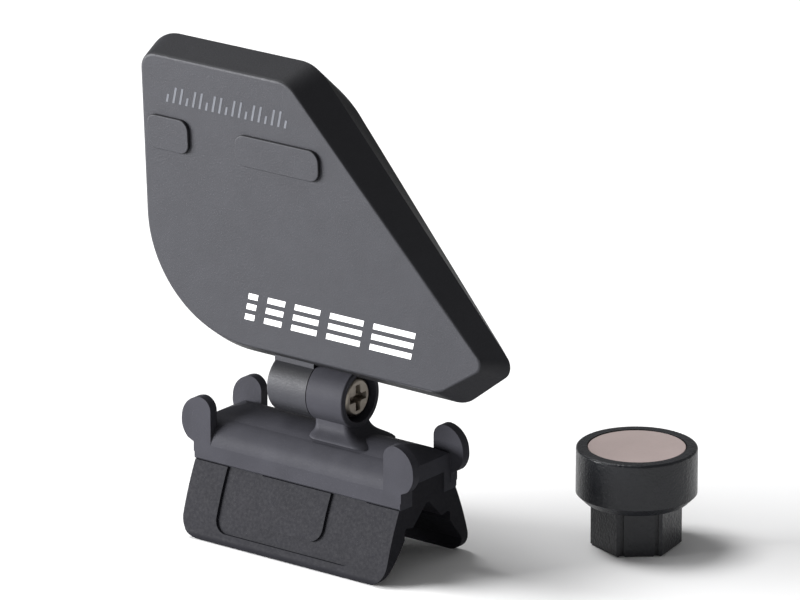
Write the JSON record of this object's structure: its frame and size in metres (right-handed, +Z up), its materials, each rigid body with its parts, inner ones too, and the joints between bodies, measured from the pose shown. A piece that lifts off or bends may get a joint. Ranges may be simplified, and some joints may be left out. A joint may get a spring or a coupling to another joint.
{
  "type": "bicycle cadence transmitter with pedal magnet",
  "caption": "Wireless cadence transmitter: a flat sensor head on a friction hinge over a chainstay bracket with a rubber V saddle, plus a hex plug magnet for the pedal axle.",
  "frame": {"origin": "middle of the rubber saddle's V ridge, where the chainstay touches", "axes": "+X along the chainstay and the hinge, towards the screw head; +Y towards the wheel, away from the marked face; +Z up from the chainstay to the sensor head"},
  "size_m": [0.0529, 0.0322, 0.0507],
  "materials": {
    "housing": "fine matte",
    "rear_housing": "satin",
    "bracket_plastic": "fine matte",
    "saddle_rubber": "matt rubber",
    "board": "solder mask",
    "steel": "plain",
    "reed_glass": "clear",
    "ferrite": "sintered",
    "copper": "enamelled copper wire",
    "chip": "moulded",
    "ceramic": "ceramic",
    "cell_steel": "plated",
    "gasket": "plain",
    "brass": "turned",
    "seal_rubber": "soft rubber",
    "screw_steel": "zinc plated, faintly yellow",
    "magnet_plastic": "moulded, lightly grained",
    "magnet_face": "matt, pinkish grey"
  },
  "bodies": {
    "bracket": {"bracket": "bracket_plastic", "rubber_saddle": "saddle_rubber"},
    "head": {"front_shell": "housing", "rear_shell": "rear_housing", "circuit_board": "board", "board_screws": "steel", "reed_glass": "reed_glass", "reed_leads": "steel", "antenna_core": "ferrite", "antenna_coil": "copper", "transmitter_chip": "chip", "crystal": "steel", "capacitors": "ceramic", "resistors": "chip", "contact_negative": "steel", "contact_positive": "steel", "cell_cap": "cell_steel", "cell_gasket": "gasket", "cell_can": "cell_steel", "threaded_insert": "brass"},
    "cover_seal": {"cover_seal": "seal_rubber"},
    "battery_cover": {"battery_cover": "rear_housing"},
    "clamp_washer": {"clamp_washer": "steel"},
    "clamp_screw": {"clamp_screw": "screw_steel"},
    "magnet": {"magnet_holder": "magnet_plastic", "magnet_disc": "magnet_face"}
  },
  "joints": [
    {"name": "head_tilt", "type": "hinge", "parent": "bracket", "child": "head", "pos_m": [0, 0, 0.0092], "axis": [1, 0, 0], "range_deg": [-90, 60]},
    {"name": "clamp_washer_slide", "type": "slide", "parent": "bracket", "child": "clamp_washer", "axis": [1, 0, 0], "range_m": [0, 0.0009]},
    {"name": "clamp_screw_turn", "type": "hinge", "parent": "clamp_washer", "child": "clamp_screw", "pos_m": [0, 0, 0.0092], "axis": [1, 0, 0], "range_deg": [0, 720]},
    {"name": "cover_lift", "type": "slide", "parent": "head", "child": "cover_seal", "axis": [0, 1, 0], "range_m": [0, 0.0005]},
    {"name": "battery_cover_turn", "type": "hinge", "parent": "cover_seal", "child": "battery_cover", "pos_m": [-0.0045, 0, 0.02755], "axis": [0, 1, 0], "range_deg": [0, 90]},
    {"name": "magnet_lift", "type": "slide", "parent": "bracket", "child": "magnet", "axis": [0, 0, 1], "range_m": [0, 0.03]}
  ],
  "couplings": [
    {"joint": "clamp_screw_turn", "follows": "clamp_washer_slide", "rad_per_m": 13963},
    {"joint": "battery_cover_turn", "follows": "cover_lift", "rad_per_m": 3141.6}
  ]
}
